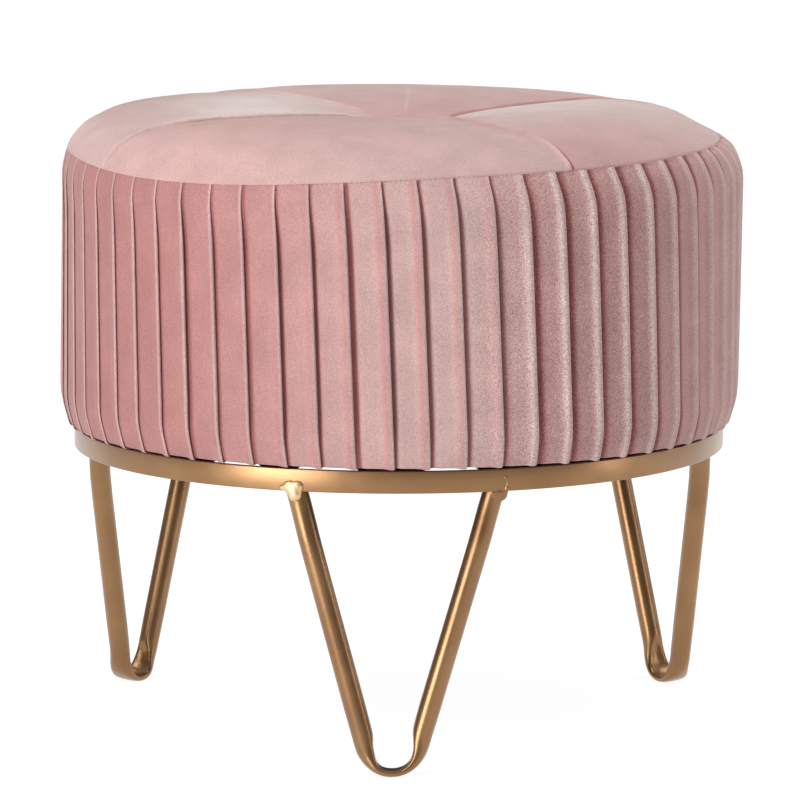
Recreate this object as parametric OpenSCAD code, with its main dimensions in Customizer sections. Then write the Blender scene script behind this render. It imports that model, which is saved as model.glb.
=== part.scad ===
// Round upholstered ottoman on a metal hoop with three bent tube legs.
// Millimetres, +Z up, origin on the floor under the middle of the seat.
// The first leg stands at the front, towards -Y. Angles run from the front towards +X.

/* [Seat] */
// Diameter of the seat over the folds of its pleats
seat_d = 409.2; // [392:0.2:430]
// Height of the side from the underside of the cover to the rim seam
side_h = 165.1; // [145:0.1:190]
// Rise of the crown above the rim seam
crown_h = 25.5; // [16:0.5:34]
// Radius of the highest circle of the crown
crown_r = 110; // [95:1:125]
// Depth of the tufted dimple below the crown, at its button
dimple_depth = 22; // [12:1:28]
// How far the four top seams sink into the foam
seam_dip = 3; // [0:0.5:4]
// Diameter of the covered button
button_d = 22; // [16:1:26]
// Height of the covered button
button_h = 6; // [4:0.5:9]

/* [Cover] */
// Thickness of the velvet
cover_t = 1.2; // [0.8:0.1:1.6]
// Number of knife pleats round the side
pleats = 62; // [50:2:70]
// Depth of a pleat at its fold
pleat_depth = 1.6; // [0.8:0.1:2]
// Turn of the pleats from the top of the side to the bottom, in degrees
pleat_lean = 2; // [0:0.5:4]
// Width of the hem that is turned under the base board
hem_w = 8; // [6:0.5:10]
// Thickness of the dust cover
dust_t = 0.6; // [0.4:0.1:0.8]

/* [Seat frame] */
// Thickness of the base board
board_t = 12; // [9:0.5:18]
// Thickness of the top board
top_board_t = 9; // [6:0.5:12]
// Thickness of the wrapped side wall
wall_t = 3; // [2:0.5:4]
// Thickness of the foam on the side wall
side_foam_t = 8.2; // [6:0.1:10]
// Thickness of the top foam at the rim
rim_foam_t = 59; // [45:1:70]
// Number of posts between the boards
posts = 6; // [3:3:6]
// Size of a post towards the middle of the seat
post_depth = 28; // [20:1:34]
// Size of a post along the rim
post_w = 42; // [30:1:50]

/* [Hoop] */
// Distance from the edge of the seat to the outside of the hoop
ring_inset = 8.8; // [6.6:0.1:16.6]
// Height of the hoop's flat bar
bar_h = 13.1; // [10:0.1:16]
// Thickness of the hoop's flat bar
bar_t = 3.2; // [2.5:0.1:4]
// Radius along the edges of the bar
bar_edge = 0.5; // [0.2:0.1:0.8]
// Gap between the hoop and the cover of the seat
seat_gap = 2; // [1:0.1:4]

/* [Legs] */
// Height of the hoop's underside above the floor
ring_z = 165.8; // [140:0.1:200]
// Diameter of the leg tube
tube_d = 12.7; // [11:0.1:14]
// Wall of the leg tube
tube_wall = 1.2; // [0.9:0.1:1.6]
// Distance between the two struts of a leg at the hoop's underside
leg_spread = 114.4; // [95:0.1:130]
// Distance from the hoop's outside to the axis of a strut
strut_inset = 5; // [4.2:0.1:5.8]
// How far the foot stands further out than the struts' tops
foot_out = 10.8; // [4:0.1:20]
// Outside radius of the bend at the foot
bend_r = 22.3; // [19:0.1:26]
// Height of the pressed tube at the bottom of the bend
bend_t = 5.3; // [4.5:0.1:7]
// Width of the pressed tube at the bottom of the bend
bend_w = 16.6; // [14:0.1:18]
// Height of the strut's end above the hoop's underside
cope_h = 9; // [6:0.5:9.5]

/* [Mounting] */
// Distance from the inside of the hoop to the bolts
bolt_inset = 28.6; // [25.6:0.2:34.6]
// Diameter of the bolts
bolt_d = 6; // [5:0.5:8]
// Width of a mounting tab
tab_w = 26; // [22:1:34]
// Thickness of a mounting tab
tab_t = 3; // [2:0.5:4]
// Diameter of the rubber spacers between the tabs and the seat
spacer_d = 18; // [15:1:20]
// Number of staples in the dust cover
staples = 18; // [12:3:24]

/* [Hidden] */
$fn = 64;

// Colours
gold = [0.75, 0.6, 0.4];
velvet = [0.78, 0.6, 0.58];
plywood = [0.8, 0.68, 0.5];
fibreboard = [0.62, 0.5, 0.38];
foam_white = [0.93, 0.9, 0.8];
zinc = [0.75, 0.76, 0.78];
black = [0.12, 0.12, 0.13];

// Small clearances and allowances
soft_gap = 0.6;
hole_gap = 0.3;
thread_gap = 0.1;
over = 1;

// Levels
ring_top = ring_z + bar_h;
cover_z = ring_top + seat_gap;
board_z = cover_z + cover_t;
board_top = board_z + board_t;
rim_z = cover_z + side_h;
crown_z = rim_z + crown_h;
top_board_top = rim_z - rim_foam_t;
top_board_z = top_board_top - top_board_t;
post_h = top_board_z - board_top;

// Radii of the seat, from the outside in
seat_r = seat_d / 2;
valley_r = seat_r - pleat_depth;
cover_in_r = valley_r - cover_t;
foam_r = cover_in_r - soft_gap;
wall_r = foam_r - side_foam_t;
board_r = wall_r - wall_t;
hem_r = board_r - hem_w;
rim_in = 5.1;
rim_t = 1.5;
rim_r = seat_r - rim_in;
rim_in_r = rim_r - rim_t;

// Heights over which the side rounds towards its two ends, and how far its bottom draws in
edge_h = 22;
shoulder_h = 28;
lip_h = 9;
bottom_in = 5.9;

// The hoop and the legs
ring_r = seat_r - ring_inset;
ring_in_r = ring_r - bar_t;
legs = 3;
leg_step = 360 / legs;
tube_r = tube_d / 2;
half_spread = leg_spread / 2;
leg_plane_r = sqrt(pow(ring_r - strut_inset, 2) - pow(half_spread, 2));
foot_r = leg_plane_r + foot_out;
leg_lean = atan(foot_out / ring_z);
plane_h = ring_z / cos(leg_lean);
axis_r = bend_r - tube_r;

// Slope of a strut in the leg's plane: its axis touches the bend's axis circle
centre_d = norm([half_spread, plane_h - bend_r]);
strut_angle = atan(half_spread / (plane_h - bend_r)) - asin(axis_r / centre_d);
strut_len = sqrt(pow(centre_d, 2) - pow(axis_r, 2));
bend_half = 90 - strut_angle;
strut_extra = 14;

// The foot is sunk a little and cut flat, which leaves a small land
foot_land = 0.5;

// Seams of the four top panels, and the rings and columns of their surface
seam_angles = [-59, 30, 121, 222];
panels = len(seam_angles);
panel_columns = 12;
panel_rings = [3, button_d / 2, 16, 23, 33, 48, 70, 100, 128, 152, 172, 188, rim_r];
twine_hole_r = panel_rings[0];
dimple_width = 16;
dimple_power = 0.85;
crown_power = 3.8;
crown_fall = 0.865;
seam_start = 40;
seam_end = 30;

// Fasteners. The bolts sit on a circle that follows the hoop, the staples one inside the hem.
bolt_r = ring_in_r - bolt_inset;
washer_d = 14;
washer_t = 1.6;
bolt_head_h = 3.6;
bolt_head_d = 1.7 * bolt_d;
nut_wall = 1;
nut_d = bolt_d + 2 * nut_wall;
nut_flange_d = 19;
nut_flange_t = 1.5;
nut_barrel = 9;
screw_d = 4;
screw_head_d = 8;
screw_len = 38;
staple_w = 10;
staple_wire = 1;
staple_leg = 7;
staple_inset = 7.5;
staple_r = hem_r - staple_inset;
twine_d = 2;
twine_washer_d = 30;
twine_washer_t = 2;
spacer_t = board_z - dust_t - ring_top;
first_tab = leg_step / 2;
post_gap = 4;
post_r = board_r - post_gap - post_depth / 2 - pow(post_w / 2, 2) / (2 * board_r);

// A point at radius r, height z and angle a from the front
function polar(r, z, a) = [r * sin(a), -r * cos(a), z];

// Triangles between two rings of n points that start at a and b
function strip(a, b, n, wrap) = [
    for (i = [0 : n - (wrap ? 1 : 2)])
        let (j = (i + 1) % n)
        each [[a + i, a + j, b + i], [a + j, b + j, b + i]]
];

// Triangles between a ring of 2n points at a and a ring of n points at b
function fine_to_coarse(a, b, n) = [
    for (i = [0 : n - 1])
        let (j = (i + 1) % n)
        each [
            [a + 2 * i, a + 2 * i + 1, b + i],
            [a + 2 * i + 1, b + j, b + i],
            [a + 2 * i + 1, a + 2 * j, b + j]
        ]
];

// The same faces seen from the other side
function flip(faces) = [for (f = faces) [f[2], f[1], f[0]]];

// Height of the seat's top without its seams
function crown(r) = r > crown_r
    ? rim_z + crown_h * pow(max(0, 1 - pow((r - crown_r) / (rim_r - crown_r), crown_power)), crown_fall)
    : crown_z;
function dimple(r) =
    dimple_depth * exp(-pow(max(0, r - button_d / 2) / dimple_width, dimple_power));

// A seam sinks in most halfway out, and a panel swells between its two seams
function seam_reach(r) = max(0, min(1, (r - button_d / 2) / seam_start, (rim_r - r) / seam_end));
function seam_sink(share) = 1 - pow(sin(180 * share), 0.5);
function top_z(r, share) =
    crown(r) - dimple(r) - seam_dip * seam_reach(r) * seam_sink(share);

function panel_start(k) = seam_angles[k];
function panel_width(k) = (k + 1 < panels ? seam_angles[k + 1] : seam_angles[0] + 360) - seam_angles[k];

// One ring of the panel's face or of its back, over the columns first to last
function inset(r) = r * rim_in_r / rim_r;
function face_ring(r, k, last) = [
    for (i = [0 : last])
        let (share = i / panel_columns)
        polar(r, top_z(r, share), panel_start(k) + share * panel_width(k))
];
function back_ring(r, k, last) = [
    for (i = [0 : last])
        let (share = i / panel_columns)
        let (drop = r == rim_r ? 0 : cover_t)
        polar(inset(r), top_z(r, share) - drop, panel_start(k) + share * panel_width(k))
];
function plain_ring(r, z, k, last) = [
    for (i = [0 : last]) polar(r, z, panel_start(k) + i / panel_columns * panel_width(k))
];

// Flat bar section with rounded edges, its lower inner corner at the origin
module bar_section(w, h, edge) {
    translate([edge, 0]) square([w - 2 * edge, h]);
    translate([0, edge]) square([w, h - 2 * edge]);
    for (x = [edge, w - edge], y = [edge, h - edge])
        translate([x, y]) circle(r = edge, $fn = 24);
}

// Places its children at n equal angles
module around(n, first = 0) {
    for (i = [0 : n - 1]) rotate([0, 0, first + i * 360 / n]) children();
}

// Places its children in the plane of the front leg: X across, Z up the plane
module in_leg_plane() {
    translate([0, -foot_r, -foot_land]) rotate([-leg_lean, 0, 0]) children();
}

// Places its children at the lower end of a strut, with Z along its axis
module on_strut(side) {
    translate([side * axis_r * cos(strut_angle), 0, bend_r - axis_r * sin(strut_angle)])
        rotate([0, side * strut_angle, 0]) children();
}

// A strut's rod, turned so that its first edge lies between two corners of the bend
module strut_rod(side, r, over_end = 0) {
    in_leg_plane() on_strut(side) rotate([0, 0, 90 + 180 / bend_points])
        translate([0, 0, -over_end]) cylinder(h = strut_len + strut_extra + 2 * over_end, r = r);
}

// Section of the bend at an angle from straight down. The tube is pressed flat from inside the
// bend: its inner wall folds towards the outer one, and its sides spread. At both ends the
// section is still round and stands a hair proud of the tube, which ends just inside it.
bend_points = 20;
bend_steps = 16;
bend_proud = 0.2;
bend_lap = 0.6;
press_start = bend_half * (1 - 2 / bend_steps);
press_span = 36;
function pressed(a) =
    let (s = min(1, max(0, (press_start - abs(a)) / press_span)))
    s * s * (3 - 2 * s);
function mix(a, b, s) = a + (b - a) * s;
function bend_section(a) =
    let (s = pressed(a))
    let (end_r = tube_r + bend_proud)
    let (edge_r = mix(axis_r, bend_r - bend_t, s))
    let (half_w = mix(end_r, bend_w / 2, s))
    let (outer = mix(end_r, bend_t, s))
    let (inner = mix(-end_r, bend_t / 2, s))
    [
        for (i = [0 : bend_points - 1])
            let (t = 360 * i / bend_points)
            let (depth = cos(t) > 0 ? outer * cos(t) : -inner * cos(t))
            let (r = edge_r + depth)
            [r * sin(a), half_w * sin(t), bend_r - r * cos(a)]
    ];
function fan(first, n) = [for (i = [1 : n - 2]) [first, first + i, first + i + 1]];

module foot_bend() {
    n = bend_points;
    points = [
        for (k = [0 : bend_steps]) each bend_section(-bend_half + 2 * bend_half * k / bend_steps)
    ];
    sides = [for (k = [0 : bend_steps - 1]) each strip(k * n, (k + 1) * n, n, true)];
    ends = concat(flip(fan(0, n)), fan(bend_steps * n, n));
    polyhedron(points, flip(concat(sides, ends)));
}

// Room that the hoop's bar takes in the end of a strut
module hoop_room() {
    difference() {
        translate([0, 0, ring_z]) cylinder(h = bar_h + over, r = ring_r, $fn = 180);
        translate([0, 0, ring_z - over]) cylinder(h = bar_h + 3 * over, r = ring_in_r, $fn = 180);
    }
}

module leg(angle) {
    color(gold) rotate([0, 0, angle]) difference() {
        union() {
            difference() {
                for (side = [-1, 1]) strut_rod(side, tube_r, bend_lap);
                for (side = [-1, 1]) strut_rod(side, tube_r - tube_wall, over);
            }
            in_leg_plane() foot_bend();
        }
        hoop_room();
        translate([-half_spread * 2, -ring_r * 1.2, ring_z + cope_h])
            cube([half_spread * 4, ring_r, strut_extra * 2]);
        translate([-bend_r * 2, -foot_r - bend_r * 2, -bend_r])
            cube([bend_r * 4, bend_r * 4, bend_r]);
    }
}

module ring() {
    color(gold) rotate_extrude($fn = 180)
        translate([ring_in_r, ring_z]) bar_section(bar_t, bar_h, bar_edge);
}

// Beads across the end of each strut, on the outside of the hoop and under its edge
bead_r = 4;
bead_w = 14;
bead_in = 1.4;
module leg_bead(side) {
    mid = side * asin(half_spread / (ring_r - strut_inset));
    difference() {
        translate(polar(ring_r - bead_in, ring_z + bead_r, mid)) intersection() {
            rotate([0, 90, mid]) cylinder(h = bead_w, r = bead_r, center = true, $fn = 32);
            sphere(d = bead_w, $fn = 48);
        }
        rotate_extrude($fn = 180) polygon([
            [0, 0],
            [ring_in_r, 0],
            [ring_in_r, ring_z],
            [ring_r, ring_z],
            [ring_r, ring_top],
            [0, ring_top]
        ]);
        strut_rod(side, tube_r);
    }
}

module leg_welds() {
    color(gold) around(legs) for (side = [-1, 1]) leg_bead(side);
}

// Tabs stand out from the inside of the hoop and carry the seat
tab_z = ring_top - tab_t;
module mount_tab(k) {
    color(gold) rotate([0, 0, first_tab + (k - 1) * leg_step]) difference() {
        intersection() {
            union() {
                translate([-tab_w / 2, -ring_r, tab_z]) cube([tab_w, ring_r - bolt_r, tab_t]);
                translate([0, -bolt_r, tab_z]) cylinder(h = tab_t, d = tab_w);
            }
            cylinder(h = crown_z, r = ring_in_r, $fn = 180);
        }
        translate([0, -bolt_r, tab_z - over]) cylinder(h = tab_t + 2 * over, d = bolt_d + 2 * hole_gap);
    }
}

// A fillet under each tab, where it meets the hoop
tab_bead_r = 2.5;
module tab_welds() {
    color(gold) around(legs, first_tab) intersection() {
        translate([-tab_w / 2 + over, -ring_in_r, tab_z]) rotate([0, 90, 0])
            cylinder(h = tab_w - 2 * over, r = tab_bead_r);
        cylinder(h = tab_z, r = ring_in_r, $fn = 720);
    }
}

module bolts() {
    head_z = tab_z - washer_t - bolt_head_h;
    color(zinc) around(legs, first_tab) translate([0, -bolt_r, head_z]) {
        cylinder(h = bolt_head_h, d = bolt_head_d);
        cylinder(h = board_top - head_z, d = bolt_d - thread_gap);
    }
}

module washers() {
    color(zinc) around(legs, first_tab) translate([0, -bolt_r, tab_z - washer_t]) difference() {
        cylinder(h = washer_t, d = washer_d);
        translate([0, 0, -over]) cylinder(h = washer_t + 2 * over, d = bolt_d + 2 * hole_gap);
    }
}

module spacers() {
    color(black) around(legs, first_tab) translate([0, -bolt_r, ring_top]) difference() {
        cylinder(h = spacer_t, d = spacer_d);
        translate([0, 0, -over]) cylinder(h = spacer_t + 2 * over, d = bolt_d + 2 * hole_gap);
    }
}

// Nuts pressed into the base board from above, one over each tab
module nut_body() {
    translate([0, -bolt_r, board_top - nut_barrel]) cylinder(h = nut_barrel, d = nut_d);
    translate([0, -bolt_r, board_top]) cylinder(h = nut_flange_t, d = nut_flange_d);
}
module t_nuts() {
    color(zinc) around(legs, first_tab) difference() {
        nut_body();
        translate([0, -bolt_r, board_z]) cylinder(h = board_t + 2 * nut_flange_t, d = bolt_d);
    }
}

// Wood screws through both boards into the ends of each post. No post stands over a tab's nut.
post_step = 360 / posts;
first_post = first_tab / 2;
module screw() {
    cylinder(h = screw_len, d = screw_d, $fn = 32);
    cylinder(h = (screw_head_d - screw_d) / 2, d1 = screw_head_d, d2 = screw_d, $fn = 32);
}
module base_screws() {
    around(posts, first_post) translate([0, -post_r, board_z]) screw();
}
module top_screws() {
    around(posts, first_post) translate([0, -post_r, top_board_top]) mirror([0, 0, 1]) screw();
}
module frame_screws() {
    color(zinc) {
        base_screws();
        top_screws();
    }
}

// Staples that hold the dust cover to the base board
module staple_legs() {
    around(staples, 180 / staples) for (x = [-1, 1])
        translate([x * (staple_w - staple_wire) / 2, -staple_r, board_z - dust_t - staple_wire])
            cylinder(h = staple_leg + staple_wire, d = staple_wire, $fn = 16);
}
module staples() {
    color(zinc) {
        staple_legs();
        around(staples, 180 / staples)
            translate([-staple_w / 2, -staple_r - staple_wire / 2, board_z - dust_t - staple_wire])
                cube([staple_w, staple_wire, staple_wire]);
    }
}

module base_board() {
    color(plywood) difference() {
        translate([0, 0, board_z]) cylinder(h = board_t, r = board_r, $fn = 180);
        around(legs, first_tab) translate([0, -bolt_r, board_z - over])
            cylinder(h = board_t + 2 * over, d = nut_d);
        base_screws();
        staple_legs();
    }
}

module post(k) {
    if (k <= posts)
        color(plywood) difference() {
            rotate([0, 0, first_post + (k - 1) * post_step])
                translate([-post_w / 2, -post_r - post_depth / 2, board_top])
                    cube([post_w, post_depth, post_h]);
            base_screws();
            top_screws();
        }
}

module top_board() {
    color(plywood) difference() {
        translate([0, 0, top_board_z]) cylinder(h = top_board_t, r = board_r, $fn = 180);
        translate([0, 0, top_board_z - over])
            cylinder(h = top_board_t + 2 * over, d = twine_d + 2 * hole_gap);
        top_screws();
    }
}

module side_wall() {
    wall_h = top_board_top - board_z;
    color(fibreboard) translate([0, 0, board_z]) difference() {
        cylinder(h = wall_h, r = wall_r, $fn = 180);
        translate([0, 0, -over]) cylinder(h = wall_h + 2 * over, r = board_r, $fn = 180);
    }
}

// The foam's thickness at its bottom edge, and how far it draws in below and above
foam_edge_t = 2.2;
foam_lip_in = 1.6;
foam_shoulder_in = 0.9;
module side_foam() {
    color(foam_white) rotate_extrude($fn = 180) polygon([
        [wall_r, board_z],
        [wall_r + foam_edge_t, board_z],
        [foam_r - foam_lip_in, cover_z + lip_h],
        [foam_r, cover_z + edge_h + over],
        [foam_r, top_board_top],
        [wall_r, top_board_top]
    ]);
}

// The top foam follows the backs of the four panels
module top_foam() {
    columns = panels * panel_columns;
    last_column = panel_columns - 1;
    last_ring = len(panel_rings) - 1;
    sides = [
        [twine_hole_r, top_board_top],
        [foam_r, top_board_top],
        [foam_r, rim_z - shoulder_h],
        [foam_r - foam_shoulder_in, rim_z - lip_h]
    ];
    rings = len(sides) + len(panel_rings);
    points = concat(
        [for (s = sides, k = [0 : panels - 1]) each plain_ring(s[0], s[1], k, last_column)],
        [
            for (i = [last_ring : -1 : 0], k = [0 : panels - 1])
                each back_ring(panel_rings[i], k, last_column)
        ]
    );
    faces = [
        for (j = [0 : rings - 1])
            each strip(j * columns, (j + 1) % rings * columns, columns, true)
    ];
    color(foam_white) polyhedron(points, flip(faces));
}

// One quarter of the velvet top. Its two straight edges are the seams.
module top_panel(k) {
    n = panel_columns + 1;
    m = len(panel_rings);
    points = concat(
        [for (r = panel_rings) each face_ring(r, k, panel_columns)],
        [for (i = [m - 1 : -1 : 0]) each back_ring(panel_rings[i], k, panel_columns)]
    );
    around_faces = [for (j = [0 : 2 * m - 1]) each strip(j * n, (j + 1) % (2 * m) * n, n, false)];
    seam = [
        for (j = [0 : m - 2])
            let (a = j * n)
            let (b = (j + 1) * n)
            let (c = (2 * m - 2 - j) * n)
            let (d = (2 * m - 1 - j) * n)
            each [[a, b, c], [a, c, d]]
    ];
    far_seam = [for (f = flip(seam)) [for (p = f) p + n - 1]];
    color(velvet) polyhedron(points, concat(around_faces, seam, far_seam));
}

// The side of the cover: knife pleats whose folds lie towards +X, drawn in at both ends, with
// a hem under the base board. Each ring gives how far it draws in, its height and the share of
// the pleat's depth that is left there.
pleat_rings = [
    [bottom_in, 0.7, 0.25],
    [2.2, lip_h, 0.7],
    [0.1, edge_h, 1],
    [0, side_h - shoulder_h, 1],
    [1.6, side_h - lip_h, 0.5],
    [rim_in - 0.4, side_h, 0]
];
// Radius and height of the band's inner face
lining_rings = [
    [rim_r - 0.9, side_h],
    [cover_in_r - 0.8, side_h - lip_h],
    [cover_in_r, side_h - shoulder_h + over],
    [cover_in_r, edge_h],
    [cover_in_r - 1.5, lip_h + 0.6],
    [seat_r - bottom_in - 2.5, cover_t],
    [hem_r, cover_t],
    [hem_r, 0]
];
fold_share = 0.86;
function lean(h) = pleat_lean * (1 - h / side_h);
function pleat_ring(in, h, depth) = [
    for (i = [0 : pleats - 1])
        let (a = 360 * i / pleats + lean(h))
        each [
            polar(seat_r - in - depth * pleat_depth, cover_z + h, a),
            polar(seat_r - in, cover_z + h, a + 360 / pleats * fold_share)
        ]
];
function lining_ring(r, h) = [
    for (i = [0 : pleats - 1]) polar(r, cover_z + h, 360 * i / pleats + lean(h))
];

module pleated_band() {
    fine = 2 * pleats;
    outer = len(pleat_rings);
    inner = len(lining_rings);
    points = concat(
        [for (p = pleat_rings) each pleat_ring(p[0], p[1], p[2])],
        [for (p = lining_rings) each lining_ring(p[0], p[1])]
    );
    first_inner = outer * fine;
    last_inner = first_inner + (inner - 1) * pleats;
    inner_starts = [for (j = [0 : inner - 2]) first_inner + j * pleats];
    faces = concat(
        [for (j = [0 : outer - 2]) each strip(j * fine, (j + 1) * fine, fine, true)],
        fine_to_coarse((outer - 1) * fine, first_inner, pleats),
        [for (s = inner_starts) each strip(s, s + pleats, pleats, true)],
        flip(fine_to_coarse(0, last_inner, pleats))
    );
    color(velvet) polyhedron(points, flip(faces));
}

// The button pulls the top down and is tied through the foam to the top board. Its dome rises
// from a short straight edge.
button_z = crown_z - dimple_depth;
button_edge = 0.25;
button_round = 0.7;
function dome_point(a) = [
    button_d / 2 * pow(cos(a), button_round),
    button_z + button_h * (button_edge + (1 - button_edge) * sin(a))
];
module tuft_button() {
    color(velvet) rotate_extrude()
        polygon(concat([[0, button_z]], [for (a = [0 : 10 : 90]) dome_point(a)]));
}

module twine_washer() {
    color(zinc) translate([0, 0, top_board_z - twine_washer_t]) difference() {
        cylinder(h = twine_washer_t, d = twine_washer_d);
        translate([0, 0, -over]) cylinder(h = twine_washer_t + 2 * over, d = twine_d + 2 * hole_gap);
    }
}

module twine() {
    knot_r = twine_d * 1.5;
    low = top_board_z - twine_washer_t;
    color("white") {
        translate([0, 0, low - knot_r]) cylinder(h = button_z - low + knot_r, d = twine_d, $fn = 24);
        translate([0, 0, low - knot_r]) sphere(r = knot_r, $fn = 32);
    }
}

// The dust cover lies on the base board and laps over the hem of the band
dust_lap = 6;
dust_gap = 0.5;
module dust_cover() {
    flat_z = board_z - dust_t;
    step_r = hem_r - dust_gap;
    color(black) difference() {
        rotate_extrude($fn = 180) polygon([
            [0, flat_z],
            [step_r - dust_t, flat_z],
            [step_r - dust_t, cover_z - dust_t],
            [hem_r + dust_lap, cover_z - dust_t],
            [hem_r + dust_lap, cover_z],
            [step_r, cover_z],
            [step_r, board_z],
            [0, board_z]
        ]);
        around(legs, first_tab) translate([0, -bolt_r, flat_z - over])
            cylinder(h = dust_t + 2 * over, d = bolt_d + 2 * hole_gap);
        staple_legs();
    }
}

ring();
leg(0);  // leg_front
leg(leg_step);  // leg_back_right
leg(2 * leg_step);  // leg_back_left
leg_welds();
mount_tab(1);  // mount_tab_1
mount_tab(2);  // mount_tab_2
mount_tab(3);  // mount_tab_3
tab_welds();
bolts();
washers();
spacers();
t_nuts();
base_board();
post(1);  // post_1
post(2);  // post_2
post(3);  // post_3
post(4);  // post_4
post(5);  // post_5
post(6);  // post_6
top_board();
frame_screws();
side_wall();
side_foam();
top_foam();
top_panel(0);  // top_panel_1
top_panel(1);  // top_panel_2
top_panel(2);  // top_panel_3
top_panel(3);  // top_panel_4
pleated_band();
tuft_button();
twine();
twine_washer();
dust_cover();
staples();
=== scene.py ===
import math
from collections import namedtuple

import bmesh
import bpy
import numpy as np
from mathutils import Matrix, Vector
from mathutils.bvhtree import BVHTree

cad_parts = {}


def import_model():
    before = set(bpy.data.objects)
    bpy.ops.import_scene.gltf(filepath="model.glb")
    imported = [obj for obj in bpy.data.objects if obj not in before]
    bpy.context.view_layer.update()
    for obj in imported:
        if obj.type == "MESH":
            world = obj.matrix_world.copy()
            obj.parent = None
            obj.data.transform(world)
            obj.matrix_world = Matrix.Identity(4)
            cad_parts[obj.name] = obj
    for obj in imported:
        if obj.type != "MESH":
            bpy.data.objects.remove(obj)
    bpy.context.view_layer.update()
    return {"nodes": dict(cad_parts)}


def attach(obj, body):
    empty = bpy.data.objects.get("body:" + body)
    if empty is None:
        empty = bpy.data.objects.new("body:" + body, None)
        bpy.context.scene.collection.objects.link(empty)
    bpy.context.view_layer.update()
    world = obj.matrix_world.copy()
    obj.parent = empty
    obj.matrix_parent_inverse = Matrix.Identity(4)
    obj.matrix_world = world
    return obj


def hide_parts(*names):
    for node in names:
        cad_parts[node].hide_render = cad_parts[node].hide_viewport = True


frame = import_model()

# Lengths are in millimetres until a mesh is made. Azimuth 0 is the front (-Y) and 90 the right (+X).
MM = 0.001

# Seat
HEM_Z = 180.9
SIDE_R = 204.5
RIM_Z = 346.0
RIM_R = 199.5
CROWN_Z = 371.5
CROWN_R = 110.0
HEM_R = 182.0
TOP_LEAN = 3.0
BUTTON_R = 11.0
BUTTON_Z = 349.5
HEM_TACK_R = 174.5

# Top seams: depth of the dip near the tuft and near the rim, the side on which the raised welt lies,
# and how much it puckers
Seam = namedtuple("Seam", "azimuth dip_tuft dip_rim side pucker")
SEAMS = [
    Seam(-59.5, 3.9, 3.9, -1, 1.0),
    Seam(30.5, 3.6, 6.0, -1, 0.0),
    Seam(122.0, 2.6, 1.3, 1, 0.0),
    Seam(221.5, 2.6, 1.0, 1, 0.0),
]

# Highest value of the layer of nap, painted sheen and painted shade
NAP_AND_LIGHT_TOP = 1.25

# Hoop and legs
HOOP_R = 195.8
HOOP_IN_R = 192.6
HOOP_Z = 165.8
HOOP_TOP = 178.9
TUBE_R = 6.35
LEGS = {"leg_front": 0.0, "leg_back_right": 120.0, "leg_back_left": 240.0}
FOOT_R = 192.83
FOOT_LAND = 0.5
LEG_LEAN = 3.73
STRUT_ANGLE = 15.77
BEND_R = 22.3
BEND_AXIS_R = 15.95
BEND_LIP = 1.8
BEND_HOLLOW = 2.0
BEND_W = 16.6
STRUT_TOP = 174.8
FRONT_FOOT_LEFT = 2.3


def rise(x, start, width):
    """Climbs smoothly from 0 at start to 1 a width further on."""
    x = np.clip((x - start) / width, 0.0, 1.0)
    return x * x * (3 - 2 * x)


def fall(x, end, width):
    """Drops smoothly from 1 a width before end to 0 at end."""
    return rise(-x, -end, width)


def hill(x, centre, width):
    """1 at centre, falling off to both sides over a width."""
    return np.exp(-(((x - centre) / width) ** 2))


def polar(r, z, azimuth):
    """Points at radius r, height z and an azimuth in degrees."""
    a = np.radians(azimuth)
    return np.stack(np.broadcast_arrays(r * np.sin(a), -r * np.cos(a), z), axis=-1)


def azimuth_off(azimuth, centre):
    """Signed angle from centre to azimuth, from -180 to 180 degrees."""
    return (np.asarray(azimuth) - centre + 180.0) % 360.0 - 180.0


def window(azimuth, centre, width, power=2):
    """1 at an azimuth, falling off to both sides, with a flatter middle for a higher power."""
    return np.exp(-((np.abs(azimuth_off(azimuth, centre)) / width) ** power))


def side_turn(azimuth):
    """-1 at the left, 0 at the front and the back, and 1 at the right."""
    return np.sin(np.radians(azimuth))


def leaned(points):
    """The seat's top sits a little to the right of its bottom."""
    points = points.copy()
    points[..., 0] += TOP_LEAN * (points[..., 2] - HEM_Z) / (CROWN_Z - HEM_Z)
    return points


def full_turn(columns):
    """Azimuths in even steps all round."""
    return np.linspace(0.0, 360.0, columns, endpoint=False)


def running_length(points):
    """Length of a line of points up to each of them."""
    return np.concatenate([[0.0], np.cumsum(np.hypot(*np.diff(points, axis=0).T))])


def evened(grid):
    """A grid that wraps in its columns, each value or point moved towards its neighbours."""
    grid = (np.roll(grid, 1, axis=1) + 2 * grid + np.roll(grid, -1, axis=1)) / 4
    padded = np.concatenate([grid[:1], grid, grid[-1:]])
    return (padded[:-2] + 2 * grid + padded[2:]) / 4


def grid_faces(rows, columns, wrap=False):
    """Quads between rows of points, closed to a ring where they wrap."""
    last = columns if wrap else columns - 1
    r, c = np.meshgrid(np.arange(rows - 1), np.arange(last), indexing="ij")
    n = (c + 1) % columns
    low = r * columns
    high = low + columns
    return np.stack([low + c, low + n, high + n, high + c], axis=-1).reshape(-1, 4).tolist()


def fan_faces(centre, first, count, outward=False):
    """Triangles from a centre point to a ring of points."""
    pairs = [(first + i, first + (i + 1) % count) for i in range(count)]
    return [[centre, a, b] if outward else [centre, b, a] for a, b in pairs]


def placed(name, data):
    """A new object in the scene."""
    made = bpy.data.objects.new(name, data)
    bpy.context.scene.collection.objects.link(made)
    return made


def shade_smooth(mesh):
    mesh.polygons.foreach_set("use_smooth", [True] * len(mesh.polygons))


def add_mesh(name, points, faces, **layers):
    """A smooth mesh object from points in millimetres. Each named layer holds a number for each point."""
    mesh = bpy.data.meshes.new(name)
    flat = np.asarray(points, float).reshape(-1, 3) * MM
    mesh.from_pydata(flat.tolist(), [], faces)
    shade_smooth(mesh)
    for key, values in layers.items():
        add_layer(mesh, key, values)
    mesh.update()
    return placed(name, mesh)


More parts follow.
